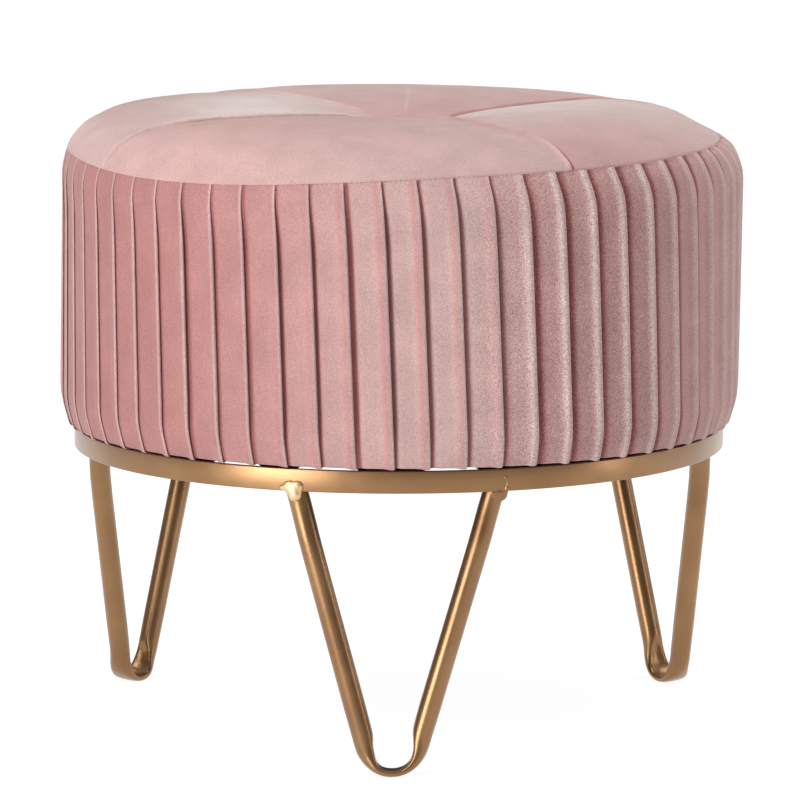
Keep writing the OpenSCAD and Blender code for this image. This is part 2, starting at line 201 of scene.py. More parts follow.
def add_layer(mesh, name, values):
    layer = mesh.attributes.new(name, "FLOAT", "POINT")
    numbers = np.broadcast_to(np.ravel(values).astype(np.float32), len(mesh.vertices))
    layer.data.foreach_set("value", np.ascontiguousarray(numbers))


def add_grid(name, points, wrap=True, **layers):
    """A mesh from rows of points, closed round the seat's axis where they wrap."""
    return add_mesh(name, points, grid_faces(*points.shape[:2], wrap), **layers)


def finish_piece(piece, material, node):
    """Gives a piece its material, hangs it on the root body and hides the node that it replaces."""
    piece.data.materials.clear()
    piece.data.materials.append(material)
    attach(piece, "root")
    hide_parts(node)


# Materials

class Nodes:
    """Builds the nodes of a material or the world with few words."""

    def __init__(self, name, kind="materials", shader="Principled BSDF"):
        self.owner = getattr(bpy.data, kind).new(name)
        self.owner.use_nodes = True
        self.tree = self.owner.node_tree
        self.shader = self.tree.nodes[shader]

    def add(self, kind, **values):
        """A node with its settings and inputs. An input takes a value or another node's socket."""
        node = self.tree.nodes.new(kind)
        for key, value in values.items():
            if hasattr(node, key):
                setattr(node, key, value)
            else:
                self.link(value, node.inputs[key.replace("_", " ")])
        return node

    def link(self, source, target):
        """Joins a socket to another one, or sets it to a number or a colour."""
        if isinstance(source, bpy.types.NodeSocket):
            self.tree.links.new(source, target)
        else:
            target.default_value = (*source, 1) if isinstance(source, tuple) else source

    def set(self, **values):
        """Sets inputs of the shader, or joins them to sockets."""
        for key, value in values.items():
            self.link(value, self.shader.inputs[key.replace("_", " ")])

    def place(self):
        return self.add("ShaderNodeTexCoord").outputs["Object"]

    def noise(self, scale, detail=3.0, stretch=None):
        where = self.place()
        if stretch:
            where = self.add("ShaderNodeMapping", Vector=where, Scale=Vector(stretch)).outputs["Vector"]
        return self.add("ShaderNodeTexNoise", Vector=where, Scale=scale, Detail=detail).outputs["Fac"]

    def ramp(self, factor, stops):
        node = self.add("ShaderNodeValToRGB", Fac=factor)
        elements = node.color_ramp.elements
        elements[0].position, elements[0].color = stops[0][0], (*stops[0][1], 1)
        elements[1].position, elements[1].color = stops[-1][0], (*stops[-1][1], 1)
        for position, color in stops[1:-1]:
            elements.new(position).color = (*color, 1)
        return node.outputs["Color"]

    def mix(self, factor, a, b, kind="MIX"):
        node = self.add("ShaderNodeMix", data_type="RGBA", blend_type=kind, Factor=factor)
        self.link(a, node.inputs[6])
        self.link(b, node.inputs[7])
        return node.outputs[2]

    def pick(self, factor, first, second):
        """The first shader where factor is 0 and the second where it is 1."""
        node = self.add("ShaderNodeMixShader", Fac=factor)
        self.link(first.outputs[0], node.inputs[1])
        self.link(second.outputs[0], node.inputs[2])
        return node

    def layer(self, name):
        return self.add("ShaderNodeAttribute", attribute_name=name).outputs["Fac"]

    def calculate(self, operation, *values):
        node = self.add("ShaderNodeMath", operation=operation)
        for socket, value in zip(node.inputs, values):
            self.link(value, socket)
        return node.outputs[0]

    def span(self, value, low, high, to_low, to_high):
        ends = dict(From_Min=low, From_Max=high, To_Min=to_low, To_Max=to_high)
        return self.add("ShaderNodeMapRange", Value=value, **ends).outputs["Result"]

    def bump(self, height, depth_mm, strength=1.0, after=None):
        node = self.add("ShaderNodeBump", Height=height, Strength=strength, Distance=depth_mm * MM)
        if after:
            self.link(after, node.inputs["Normal"])
        self.set(Normal=node.outputs["Normal"])
        return node.outputs["Normal"]


def srgb(r, g, b):
    """A colour written as on screen, from 0 to 255, in linear values."""
    return tuple((v / 255 / 12.92) if v <= 10 else ((v / 255 + 0.055) / 1.055) ** 2.4 for v in (r, g, b))


def velvet():
    """Short dusty pink pile: the nap layer, with painted sheen and painted shade, turns it greyer or
    darker, the blush layer, with painted light, turns it rosier, and speck makes it grainy.
    """
    n = Nodes("velvet")
    nap = n.layer("nap")
    pile = n.ramp(n.span(nap, 0.0, NAP_AND_LIGHT_TOP, 0.0, 1.0), [
        (0.0, srgb(150, 93, 91)), (0.2, srgb(169, 117, 114)), (0.4, srgb(183, 139, 136)),
        (0.64, srgb(194, 160, 156)), (0.8, srgb(201, 176, 171)), (1.0, srgb(216, 201, 196)),
    ])
    pile = n.mix(n.layer("blush"), pile, srgb(212, 158, 153))
    cloudy = n.span(n.noise(45, 2.0), 0.35, 0.65, 0.94, 1.05)
    grain = n.span(n.noise(1300, 2.0), 0.3, 0.7, -0.5, 0.5)
    speckle = n.calculate("MULTIPLY_ADD", grain, n.layer("speck"), 1.0)
    color = n.mix(1.0, pile, n.calculate("MULTIPLY", cloudy, speckle), "MULTIPLY")
    n.set(Base_Color=color, Roughness=0.9, Specular_IOR_Level=0.1)
    n.set(Sheen_Weight=0.42, Sheen_Roughness=0.42, Sheen_Tint=(1.0, 0.88, 0.86))
    n.bump(n.noise(1150, 2.0), 0.35, 0.9, n.bump(n.noise(260, 2.0), 0.5, 0.25))
    return n.owner


def gold_paint():
    """Satin champagne gold with a faint orange peel, and a paler painted highlight where its layer says
    so.
    """
    n = Nodes("gold_paint")
    painted_highlight = n.layer("painted_highlight")
    color = n.ramp(n.noise(30, 3.0), [(0.3, srgb(137, 98, 61)), (0.7, srgb(153, 115, 74))])
    # Painted highlight: paler where the layer says so
    n.set(Base_Color=n.mix(painted_highlight, color, srgb(226, 190, 144)))
    n.set(Metallic=0.9, Coat_Weight=0.55, Coat_Roughness=0.3)
    satin = n.span(n.noise(60, 4.0), 0.3, 0.7, 0.28, 0.35)
    n.set(Roughness=n.calculate("MULTIPLY_ADD", painted_highlight, 0.12, satin))
    n.bump(n.noise(900, 2.0), 0.06, 0.5)
    return n.owner


def wood(name, light, dark, scale, stretch):
    n = Nodes(name)
    grain = n.noise(scale, 4.0, stretch)
    n.set(Base_Color=n.ramp(grain, [(0.35, dark), (0.65, light)]), Roughness=0.7)
    n.bump(grain, 0.3, 0.4)
    return n.owner


def speckled(name, light, dark, scale, roughness, metallic=0.0, depth_mm=0.1):
    """A finish whose colour and relief vary with a fine noise."""
    n = Nodes(name)
    grain = n.noise(scale, 4.0)
    n.set(Base_Color=n.ramp(grain, [(0.35, dark), (0.65, light)]), Metallic=metallic)
    n.set(Roughness=n.span(grain, 0.3, 0.7, roughness - 0.06, roughness + 0.06))
    n.bump(grain, depth_mm, 0.5)
    return n.owner


def dust_cloth():
    """Black non-woven cloth with its pressed dots."""
    n = Nodes("dust_cloth")
    dots = n.add("ShaderNodeTexVoronoi", Vector=n.place(), Scale=700.0)
    fibres = n.noise(400, 4.0, (1.0, 4.0, 1.0))
    color = n.ramp(fibres, [(0.3, srgb(26, 26, 28)), (0.7, srgb(52, 52, 55))])
    n.set(Base_Color=color, Roughness=0.9, Specular_IOR_Level=0.2)
    n.bump(dots.outputs["Distance"], 0.12, 0.6, n.bump(fibres, 0.1, 0.5))
    return n.owner


def twine_fibre():
    n = Nodes("twine")
    wave = n.add("ShaderNodeTexWave", Vector=n.place(), Scale=260.0, Distortion=1.0)
    wave.bands_direction = "DIAGONAL"
    twist = wave.outputs["Fac"]
    n.set(Base_Color=n.ramp(twist, [(0.2, srgb(196, 186, 160)), (0.8, srgb(232, 224, 202))]))
    n.set(Roughness=0.7)
    n.bump(twist, 0.2, 0.7)
    return n.owner


VELVET = velvet()
GOLD = gold_paint()
PLYWOOD = wood("plywood", srgb(222, 194, 150), srgb(190, 158, 112), 30, (1.0, 1.0, 8.0))
POST_WOOD = wood("post_wood", srgb(226, 198, 152), srgb(196, 160, 112), 60, (3.0, 3.0, 0.3))
WALL_BOARD = speckled("wall_board", srgb(160, 128, 96), srgb(128, 100, 74), 500, 0.85)
FOAM = speckled("foam", srgb(242, 234, 206), srgb(226, 214, 180), 900, 0.95, depth_mm=0.4)
ZINC = speckled("zinc", srgb(196, 198, 202), srgb(168, 171, 176), 300, 0.34, 1.0, 0.03)
RUBBER = speckled("rubber", srgb(34, 34, 36), srgb(22, 22, 24), 400, 0.8)
DUST_CLOTH = dust_cloth()
TWINE = twine_fibre()


# The seat's outline

# Shapes of the crown and the dimple
CROWN_POWER = 3.8
CROWN_ROUND = 0.865
DIMPLE_REACH = 16.0
DIMPLE_POWER = 0.85
# How far the side bends in at the shoulder and, downwards, above the hem: depth, start, height, power
SHOULDER = (5.0, 328.0, 18.0, 1.74)
TUCK = (5.8, -203.0, 22.1, 1.88)
# Radius and height of the section's first points, which turn the hem under
HEM_SECTION = [
    (HEM_R, 181.0), (190.0, 180.9), (196.5, 180.9), (197.6, 181.1), (198.5, 181.6), (199.3, 182.5),
]


def crown(r):
    inside = np.clip((r - CROWN_R) / (RIM_R - CROWN_R), 0.0, 1.0)
    return RIM_Z + (CROWN_Z - RIM_Z) * (1 - inside**CROWN_POWER) ** CROWN_ROUND


def dimple(r):
    off = np.maximum(r - BUTTON_R, 0.0) / DIMPLE_REACH
    return (CROWN_Z - BUTTON_Z) * np.exp(-off ** DIMPLE_POWER)


def bend_in(z, deep, start, high, power):
    return deep * np.maximum((z - start) / high, 0.0) ** power


def side_radius(z):
    return SIDE_R - bend_in(z, *SHOULDER) - bend_in(-z, *TUCK)


def seat_outline():
    """Radius, height and running length of the seat's section, from the hem to the button."""
    z = np.linspace(184.0, RIM_Z, 200)
    side = np.stack([side_radius(z), z], axis=1)
    t = np.linspace(0.0, 1.0, 500)[1:]
    r = RIM_R + (BUTTON_R - RIM_R) * (0.25 * t * t + 0.75 * t)
    top = np.stack([r, crown(r) - dimple(r)], axis=1)
    points = np.concatenate([np.array(HEM_SECTION), side, top])
    return points, running_length(points)


OUTLINE, OUTLINE_S = seat_outline()
SLOPE = np.gradient(OUTLINE, OUTLINE_S, axis=0)
SLOPE /= np.hypot(*SLOPE.T)[:, None]


def on_outline(s):
    """Radius, height and outward direction of the seat's section at a running length."""
    r = np.interp(s, OUTLINE_S, OUTLINE[:, 0])
    z = np.interp(s, OUTLINE_S, OUTLINE[:, 1])
    dr = np.interp(s, OUTLINE_S, SLOPE[:, 0])
    dz = np.interp(s, OUTLINE_S, SLOPE[:, 1])
    return r, z, dz, -dr


def length_at_height(z):
    """Running length at which the side or the shoulder reaches a height."""
    rising = (OUTLINE_S > 20.0) & (OUTLINE[:, 0] > CROWN_R)
    return np.interp(z, OUTLINE[rising, 1], OUTLINE_S[rising])


# The rim seam's mean height, its waves (height, number round the seat, phase) and its drop at the left
RIM_SEAM_Z = 347.8
RIM_WAVES = [(4.25, 1, -8.0), (1.97, 2, -37.0), (0.52, 3, 54.0), (1.15, 4, 78.0)]
RIM_DROP = 2.6


def rim_height(azimuth):
    """The rim seam wanders up and down the shoulder."""
    drop = RIM_DROP * window(azimuth, -97.0, 14.0)
    waves = sum(high * np.sin(np.radians(k * azimuth + phase)) for high, k, phase in RIM_WAVES)
    return RIM_SEAM_Z - drop + waves


def seam_shows(azimuth):
    """The rim seam is pulled tight on the left and shows as a stitched groove elsewhere."""
    return 0.2 + 0.8 * rise(side_turn(azimuth), -0.45, 0.3)


def seat_points(s, azimuth, out):
    """Points on the seat at a running length and an azimuth, moved outwards by out."""
    r, z, out_r, out_z = on_outline(s)
    return leaned(polar(r + out * out_r, z + out * out_z, azimuth))


# Pleated side

PLEATS = 62
PLEAT_PHASE = -3.05
PLEAT_TOP = 345.0
# Spread of the folds' places in degrees and of their fullness
FOLD_SPREAD = 0.07
FULLNESS_SPREAD = 0.08
FOLD_SEED = 7
# Section of a pleat, along the seat and into it, from the crevice to the edge of the fold
PLEAT_SECTION = [
    (-23.4, 3.1), (-22.6, 3.15), (-21.4, 3.1), (-20.2, 3.05), (-18.8, 2.95), (-17.0, 2.85),
    (-13.5, 2.7), (-10.5, 2.55), (-8.4, 2.35), (-6.8, 1.95), (-5.4, 1.3), (-4.1, 0.62), (-3.0, 0.2),
    (-2.0, 0.0), (-1.2, 0.05), (-0.5, 0.35), (-0.1, 0.85), (0.0, 1.35), (-0.15, 1.9), (-0.6, 2.4),
    (-1.4, 2.7), (-2.0, 2.9),
]
PLEAT_POINTS = 34
# Rows: lengths from the hem's start, then shares of the rest of the way up to the rim seam
HEM_ROWS = [0.0, 6.0, 11.0, 14.0, 15.5, 16.8, 17.6, 18.6, 20.5, 23.0, 26.0, 30.0, 35.0, 41.0, 48.0]
RIM_ROWS = [0.925, 0.95, 0.968, 0.98, 0.987, 0.991, 0.994, 0.9965, 0.9985, 1.0]
HEM_EDGE_S = OUTLINE_S[len(HEM_SECTION) - 1]
STITCH = 2.9


def fold_section():
    """The section of one pleat in even steps."""
    width = 2 * math.pi * SIDE_R / PLEATS
    knots = np.array(PLEAT_SECTION)
    closed = np.concatenate([knots, [knots[0] + (width, 0.0)]])
    steps = running_length(closed)
    at = np.linspace(0.0, steps[-1], PLEAT_POINTS + 1)[:-1]
    return np.interp(at, steps, closed[:, 0]), np.interp(at, steps, closed[:, 1])


def pleat_azimuth(tip, z):
    """Azimuth of a fold at a height: the folds spread a little and lean to the right on their way down."""
    a = np.radians(tip)
    spread = 0.80 * np.sin(a) + 0.56 * np.sin(2 * a) + 2.02 * (1 - np.cos(a))
    drop = PLEAT_TOP - z
    shoulder = 1 - np.exp(-np.maximum(drop, 0.0) / 15.0)
    return tip + spread + (2.42 + 0.28 * np.sin(a)) * drop / 160.0 + (0.54 + 0.56 * np.sin(a)) * shoulder


def side_rows(column):
    """Running lengths of the side's points, and how far they lie below the rim seam."""
    rim_s = length_at_height(rim_height(column))
    low = np.array(HEM_ROWS)[:, None]
    share = np.concatenate([np.linspace(0.0, 0.9, 26)[1:], RIM_ROWS])[:, None]
    up = low[-1] + (rim_s - low[-1]) * share
    s = np.concatenate([np.broadcast_to(low, (len(low), column.shape[1])), up])
    return s, rim_s - s


def pleat_depth(s, below_rim, turn):
    """Pleats are flatter towards the rim seam, the left side and the hem."""
    at_rim = 0.14 + 0.20 * rise(turn, -0.5, 0.4)
    depth = at_rim + (1 - at_rim) * rise(below_rim, 0.0, 40.0)
    depth = depth * (0.45 + 0.55 * rise(turn, -0.95, 0.4))
    depth = depth * (0.5 + 0.5 * rise(s, HEM_EDGE_S, 30.0))
    depth = depth * (0.4 + 0.6 * rise(s, 0.0, HEM_EDGE_S))
    return depth * (0.1 + 0.9 * rise(below_rim, 0.0, 2.4))


def stitch_wave(azimuth):
    """From -1 to 1, once for each stitch of the rim seam."""
    return np.sin(np.radians(azimuth) * SIDE_R * 2 * math.pi / STITCH)


def stitched_groove(below_rim, azimuth):
    """Depth of the groove just below the rim seam."""
    return (0.40 + 0.21 * stitch_wave(azimuth)) * seam_shows(azimuth) * hill(below_rim, 0.0, 0.5)


def stitch_painted_shade(below_rim, azimuth):
    """Painted shade at the stitches: how much darker the pile is there."""
    dots = np.maximum(stitch_wave(azimuth), 0.0) * hill(below_rim, 0.0, 0.7)
    return 0.8 * dots * seam_shows(azimuth)


def hem_drop(s, s_fold, turn):
    """The hem hangs lower under the edge of each fold, most at the sides."""
    hanging = hill(s_fold, -1.8, 2.6) * (0.55 + 0.5 * rise(np.abs(turn), 0.3, 0.3))
    return (1.2 + hanging) * hill(s, HEM_EDGE_S, 4.5)


def pleated_band():
    chance = np.random.RandomState(FOLD_SEED)
    along, into = fold_section()
    even = PLEAT_PHASE + 360.0 / PLEATS * np.arange(PLEATS)
    tips = even + chance.normal(0.0, FOLD_SPREAD, PLEATS)
    fullness = 1 + chance.normal(0.0, FULLNESS_SPREAD, PLEATS)
    tip = np.repeat(tips, PLEAT_POINTS)[None, :]
    full = np.repeat(fullness, PLEAT_POINTS)[None, :]
    s_fold = np.tile(along, PLEATS)[None, :]
    d_fold = np.tile(into, PLEATS)[None, :]
    from_tip = np.degrees(s_fold / SIDE_R)
    s, below_rim = side_rows(pleat_azimuth(tip, RIM_Z) + from_tip)
    r, z, out_r, out_z = on_outline(s)
    azimuth = pleat_azimuth(tip, z) + from_tip
    turn = side_turn(azimuth)
    crevice = 1.7 * rise(turn, -0.75, 0.95) * hill(s_fold, -20.2, 1.9)
    out = rim_swell(-below_rim, azimuth) - stitched_groove(below_rim, azimuth)
    out = out - (d_fold + crevice) * pleat_depth(s, below_rim, turn) * full
    lift = out * np.maximum(out_z, -0.3) - hem_drop(s, s_fold, turn)
    points = leaned(polar(r + out * out_r, z + lift, azimuth))
    # The pile's painted sheen and shade, with painted shade at the stitches
    nap = np.clip(band_nap(turn, s_fold, d_fold) - stitch_painted_shade(below_rim, azimuth), 0.0, NAP_AND_LIGHT_TOP)
    blush, speck = band_blush(turn, s_fold), band_speck(turn)
    band = add_grid("pleated_side", points, nap=nap, blush=blush, speck=speck)
    finish_piece(band, VELVET, "pleated_band")


# Painted sheen and shade on the pleats' faces by their turn, from the left to the right
BAND_TURNS = [-0.87, -0.68, -0.39, -0.09, 0.20, 0.45, 0.675, 0.86]
BAND_PAINTED_LIGHT = [0.24, 0.29, 0.42, 0.76, 0.88, 0.62, 0.58, 0.60]


def band_nap(turn, s_fold, d_fold):
    """Painted sheen greys the pile from the front to the right, painted shade darkens it before a fold at
    the front and in the crevice, painted highlight lights a fold's edge and the ridges at the right, and
    painted shadow falls beyond each ridge at the right.
    """
    base = np.interp(turn, BAND_TURNS, BAND_PAINTED_LIGHT)
    left = fall(turn, -0.1, 0.4)
    right = rise(turn, 0.2, 0.25)
    far = rise(turn, 0.7, 0.15)
    front = hill(turn, 0.02, 0.33)
    # Painted highlight along each fold's edge
    edge = (0.22 + 0.34 * left) * hill(s_fold, -0.6, 0.85) * (d_fold < 2.4)
    # Painted shade before the fold at the front, painted highlight on the ridges at the right
    slope = (-0.32 * front + 0.62 * right - 0.22 * far) * hill(s_fold, -3.8, 2.0)
    # Painted shadow beyond each ridge at the right
    shaded = -(0.48 + 0.42 * far) * right * hill(s_fold, -18.6, 2.4)
    open_crevice = 0.25 + 0.75 * rise(turn, -0.8, 0.5) - 0.25 * right
    # Painted shade in the crevice
    crevice = -1.2 * rise(d_fold, 2.4, 0.4) * hill(s_fold, -21.3, 1.6)
    crevice = crevice - 1.2 * rise(d_fold, 1.6 + 0.7 * left, 1.0) * (s_fold > -3.0)
    return np.clip(base + edge + slope + shaded + crevice * open_crevice, 0.0, NAP_AND_LIGHT_TOP)


def band_speck(turn):
    """Grainier where the pile is brushed, from the front to the right."""
    return 0.34 + 0.42 * rise(turn, 0.1, 0.3) - 0.36 * rise(turn, 0.66, 0.2)


def band_blush(turn, s_fold):
    """Painted shade makes the pile rosier just before each fold at the front, and painted highlight makes
    it rosier on the ridges at the right.
    """
    front = hill(turn, -0.05, 0.35)
    right = rise(turn, 0.3, 0.2)
    before = hill(s_fold, -4.2, 1.9)
    return (0.27 * front + 0.20 * right) * before


# Top panels

SEAM_STEPS = np.array([0.0, 0.35, 0.75, 1.2, 1.7, 2.3, 3.0, 4.0, 5.5, 7.5, 10.0, 13.5, 18.0, 24.0])
# A panel's rows, as shares of the way from the rim seam to the button
PANEL_ROWS = np.concatenate(
    [[0.0, 0.0015, 0.003, 0.005, 0.0085, 0.014, 0.02, 0.03], np.linspace(0.045, 1.0, 84)]
)
# Panels narrower than this have smaller seams
FULL_WIDTH = 60.0
WELT_OFF = 2.2
WELT_WIDE = 1.5
CREASE_AZIMUTH = 179.0


def panel_seams(index):
    """The seams at both sides of a panel, and the angle between them."""
    first, second = SEAMS[index], SEAMS[(index + 1) % len(SEAMS)]
    return first, second, (second.azimuth - first.azimuth) % 360.0


def across_panel(width):
    """Distances across a panel of some width, closer together near its two seams."""
    near = SEAM_STEPS * min(1.0, width / FULL_WIDTH)
    middle = np.linspace(near[-1], width - near[-1], 60)[1:-1]
    return np.concatenate([near, middle, width - near[::-1]])


def panel_row(share, first, span):
    """One row of a panel's points, from its first seam to its second."""
    azimuth = first.azimuth + span * np.linspace(0.0, 1.0, len(across_panel(300.0)))
    for _ in range(3):
        rim_s = length_at_height(rim_height(azimuth))
        s = rim_s + (OUTLINE_S[-1] - rim_s) * share
        r = on_outline(s)[0]
        width = np.radians(span) * r
        from_first = np.array([across_panel(w)[i] for i, w in enumerate(width)])
        azimuth = first.azimuth + np.degrees(from_first / r)
    return s, s - rim_s, azimuth, r, from_first, width


def seam_reach(r):
    """The seams' dips fade out at the button and at the rim."""
    return np.minimum(1.0, np.minimum((r - BUTTON_R) / 40.0, (RIM_R - r) / 45.0)).clip(0.0)


def puckers(x, r, pucker):
    """Slanted little folds along a seam, from 0 to 1."""
    wave = np.maximum(np.sin((r + 1.3 * x) * 2 * math.pi / 6.3), 0.0) ** 1.5
    return pucker * wave * hill(x, 3.8, 2.9) * fall(r, 165.0, 25.0)


def welt(x, r, seam):
    """Height of a top seam at a signed distance from it: a thin groove with a raised welt beside it."""
    rope = 1 + 0.12 * seam.pucker * np.sin(r * 2 * math.pi / 9.5)
    ridge = 1.7 * hill(x, seam.side * WELT_OFF, WELT_WIDE) * rope
    ridge = ridge * (1 - 0.7 * (seam.side > 0) * rise(r, 115.0, 45.0))
    groove = -1.3 * hill(x, 0.0, 0.65) * (1 - 0.6 * seam.pucker * rise(r, 135.0, 25.0))
    return ridge + groove - puckers(x, r, seam.pucker)


def welt_nap(x, r, seam):
    """A painted highlight on the welt, and painted shade in the groove and the puckers."""
    ridge = 0.16 * hill(x, seam.side * WELT_OFF, WELT_WIDE)
    groove = -0.8 * (1 - 0.45 * (seam.side > 0)) * hill(x, 0.0, 0.7)
    groove = groove * (1 - 0.9 * seam.pucker * rise(r, 135.0, 25.0))
    return ridge + groove - puckers(x, r, seam.pucker)


def welt_blush(x, r, seam):
    """A rosier painted highlight on the welt where it doesn't pucker."""
    return (0.5 - 0.3 * seam.pucker) * hill(x, seam.side * WELT_OFF, WELT_WIDE)


def gathers(r, azimuth):
    """Small folds that run out from the tuft."""
    near = np.exp(-np.maximum(r - BUTTON_R, 0.0) / 13.0)
    a = np.radians(azimuth)
    folds = np.sin(11 * a + 0.6) + 0.6 * np.sin(17 * a + 2.1) + 0.4 * np.sin(7 * a + 4.0)
    return 0.55 * near * folds


def crease(r, azimuth):
    """A faint fold that runs from the tuft to the back, from 0 to 1."""
    off = np.radians(azimuth_off(azimuth, CREASE_AZIMUTH))
    along = rise(r, 25.0, 20.0) * fall(r, 135.0, 30.0)
    return hill(r * np.sin(off), 0.0, 1.5) * (np.cos(off) > 0) * along


def top_panel(index):
    first, second, span = panel_seams(index)
    rows = [panel_row(share, first, span) for share in PANEL_ROWS]
    s, in_rim, azimuth, r, from_first, width = (np.array(x) for x in zip(*rows))
    scale = np.minimum(1.0, width / FULL_WIDTH)
    fold = crease(r, azimuth)

    def at_seams(profile):
        return profile(from_first / scale, r, first) + profile((from_first - width) / scale, r, second)

    relief = at_seams(welt) * scale + gathers(r, azimuth) + 0.5 * fold
    inner = rise(in_rim, 0.0, 12.0)
    out = pillow(s, azimuth) * inner + rim_swell(in_rim, azimuth) * (1 - inner)
    out = out + swells(COVER_SWELLS, in_rim, azimuth) + (0.25 + 0.75 * rise(in_rim, 0.0, 4.0)) * relief
    out = out - 0.46 * seam_shows(azimuth) * hill(in_rim, 0.0, 0.6)
    # Painted sheen of the panel, with painted highlight and shade at its seams
    nap = panel_nap(index, r, azimuth) + at_seams(welt_nap) * scale + 0.15 * fold
    # Rosier round the tuft, with painted light at the front panel's left and on the welts
    blush = panel_blush(index, r, azimuth) + at_seams(welt_blush)
    panel = add_grid(
        f"top_cover_{index + 1}", seat_points(s, azimuth, out), wrap=False,
        nap=np.clip(nap, 0.0, NAP_AND_LIGHT_TOP), blush=np.clip(blush, 0.0, 1.0), speck=0.24,
    )
    finish_piece(panel, VELVET, f"top_panel_{index + 1}")


# Painted sheen of each panel: near the tuft, half way, near the rim, and how much greyer it is at its
# second seam
PANEL_PAINTED_SHEEN = [
    (0.80, 0.68, 0.84, 0.05), (1.22, 1.08, 0.84, 0.40), (0.68, 0.82, 0.90, 0.10), (0.92, 1.25, 0.76, 0.20),
]


def panel_blush(index, r, azimuth):
    """Rosier round the tuft, and rosier with painted light at the left of the front panel."""
    tuft = 0.25 * hill(r, 0.0, 45.0)
    left = 0.26 * window(azimuth, -42.0, 26.0) * rise(r, 80.0, 60.0)
    return tuft + left * (index == 0)


# Painted sheen: each panel greyer or pinker with its distance from the tuft and towards its second seam
def panel_nap(index, r, azimuth):
    first, _, span = panel_seams(index)
    share = np.clip((azimuth - first.azimuth) / span, 0.0, 1.0)
    near, middle, far, greyer = PANEL_PAINTED_SHEEN[index]
    return np.interp(r, [20.0, 95.0, 180.0], [near, middle, far]) + greyer * (share - 0.5)


# Padding under the cover

def lathe(name, section, columns, lean=False):
    """A ring from a section of (radius, height)."""
    section = np.asarray(section, float)
    points = polar(section[:, :1], section[:, 1:], full_turn(columns)[None, :])
    return add_grid(name, leaned(points) if lean else points)


SIDE_FOAM_LOW = 183.0
SIDE_FOAM_HIGH = 340.0
SIDE_FOAM_IN_R = 193.4
SIDE_FOAM_OUT_R = 199.0
COVER_DEEP = 6.0


def side_padding():
    """Foam wrapped round the wall, fuller at mid height."""
    z = np.linspace(SIDE_FOAM_LOW, SIDE_FOAM_HIGH, 40)
    belly = 0.5 * np.sin(math.pi * (z - SIDE_FOAM_LOW) / (SIDE_FOAM_HIGH - SIDE_FOAM_LOW))
    outer = np.stack([np.minimum(side_radius(z) - COVER_DEEP + belly, SIDE_FOAM_OUT_R), z], axis=1)
    back = np.linspace(SIDE_FOAM_HIGH, SIDE_FOAM_LOW, 12)
    inner = np.stack([np.full(len(back), SIDE_FOAM_IN_R), back], axis=1)
    ring = lathe("side_padding", np.concatenate([outer, inner, outer[:1]]), 180, lean=True)
    finish_piece(ring, FOAM, "side_foam")


# The pad lies this far below the cover. It starts slack, and pressure fills it, up to a cap.
PAD_BELOW = 3.2
PAD_START = 1.4
PAD_CAP = 6.0
PAD_VOXEL = 5.0
PAD_PRESSURE = 5.0
PAD_FRAMES = 20
PAD_COLUMNS = 240
PAD_S = np.linspace(length_at_height(338.0), OUTLINE_S[-1], 90)
PAD_AZIMUTH = full_turn(PAD_COLUMNS)
# Radius and height of the pad's side, and of its hole and its flat bottom
PAD_BOTTOM = 287.3
PAD_SIDE = [(186.0, PAD_BOTTOM), (191.0, 290.0), (192.4, 300.0), (192.4, 330.0)]
PAD_MIDDLE = [(12.0, 320.0), (12.0, PAD_BOTTOM), (100.0, PAD_BOTTOM)]
# The cover's swells beside the rim seam: height, place and width below it, azimuth, width and power
RIM_SWELLS = [
    (3.5, 18.0, 22.0, -103.0, 38.0, 2),
    (1.5, 19.0, 11.0, -100.0, 32.0, 2),
    (-5.4, 12.0, 18.5, 92.0, 24.0, 4),
]
COVER_SWELLS = [(1.5, 14.0, 9.0, 116.0, 13.0, 2)]
# How much flatter the crown is, at an azimuth with a width and a power
FLATTER = [(1.9, -122.0, 24.0, 2), (3.6, 135.0, 78.0, 4), (1.6, 172.0, 26.0, 2)]


def top_shape(r, azimuth):
    """The crown is a little flatter at its back and right."""
    flatter = sum(high * window(azimuth, centre, width, power) for high, centre, width, power in FLATTER)
    return -flatter * fall(r, 192.0, 30.0)


def swells(table, from_rim, azimuth):
    """Sum of a table's swells at a distance from the rim seam."""
    out = 0.0
    for high, place, width, centre, spread, power in table:
        out = out + high * hill(from_rim, place, width) * window(azimuth, centre, spread, power)
    return out


def rim_swell(from_rim, azimuth):
    """Near the rim seam the shoulder is fuller on its left and slimmer on its right."""
    return swells(RIM_SWELLS, from_rim, azimuth)


def seam_dips(r, azimuth, sharpness, slack=0.0):
    """How far the top sinks towards its seams, and below them by slack in the middle of each panel."""
    dip = np.zeros(np.broadcast(r, azimuth).shape)
    outer = rise(r, 60.0, 90.0)
    for index in range(len(SEAMS)):
        first, second, span = panel_seams(index)
        share = ((azimuth - first.azimuth) % 360.0) / span
        inside = share <= 1.0
        share = np.clip(share, 0.0, 1.0)
        dips = [seam.dip_tuft + (seam.dip_rim - seam.dip_tuft) * outer for seam in (first, second)]
        deep = dips[0] * (1 - share) + dips[1] * share
        loose = np.sin(math.pi * share)
        dip = np.where(inside, deep * (1 - loose**sharpness) + slack * loose, dip)
    return top_shape(r, azimuth) - dip * seam_reach(r)


def pad_points(top_sink):
    """The crowned pad with its dimple, closed by its sides and its flat bottom."""
    azimuth = PAD_AZIMUTH[None, :]
    r, z, out_r, out_z = on_outline(PAD_S[:, None])
    top = polar(r + top_sink * out_r, z + top_sink * out_z, azimuth)
    low = np.array([polar(a, b, azimuth[0]) for a, b in PAD_SIDE])
    end = np.array([polar(a, b, azimuth[0]) for a, b in PAD_MIDDLE])
    return np.concatenate([low, top, end, low[:1]])


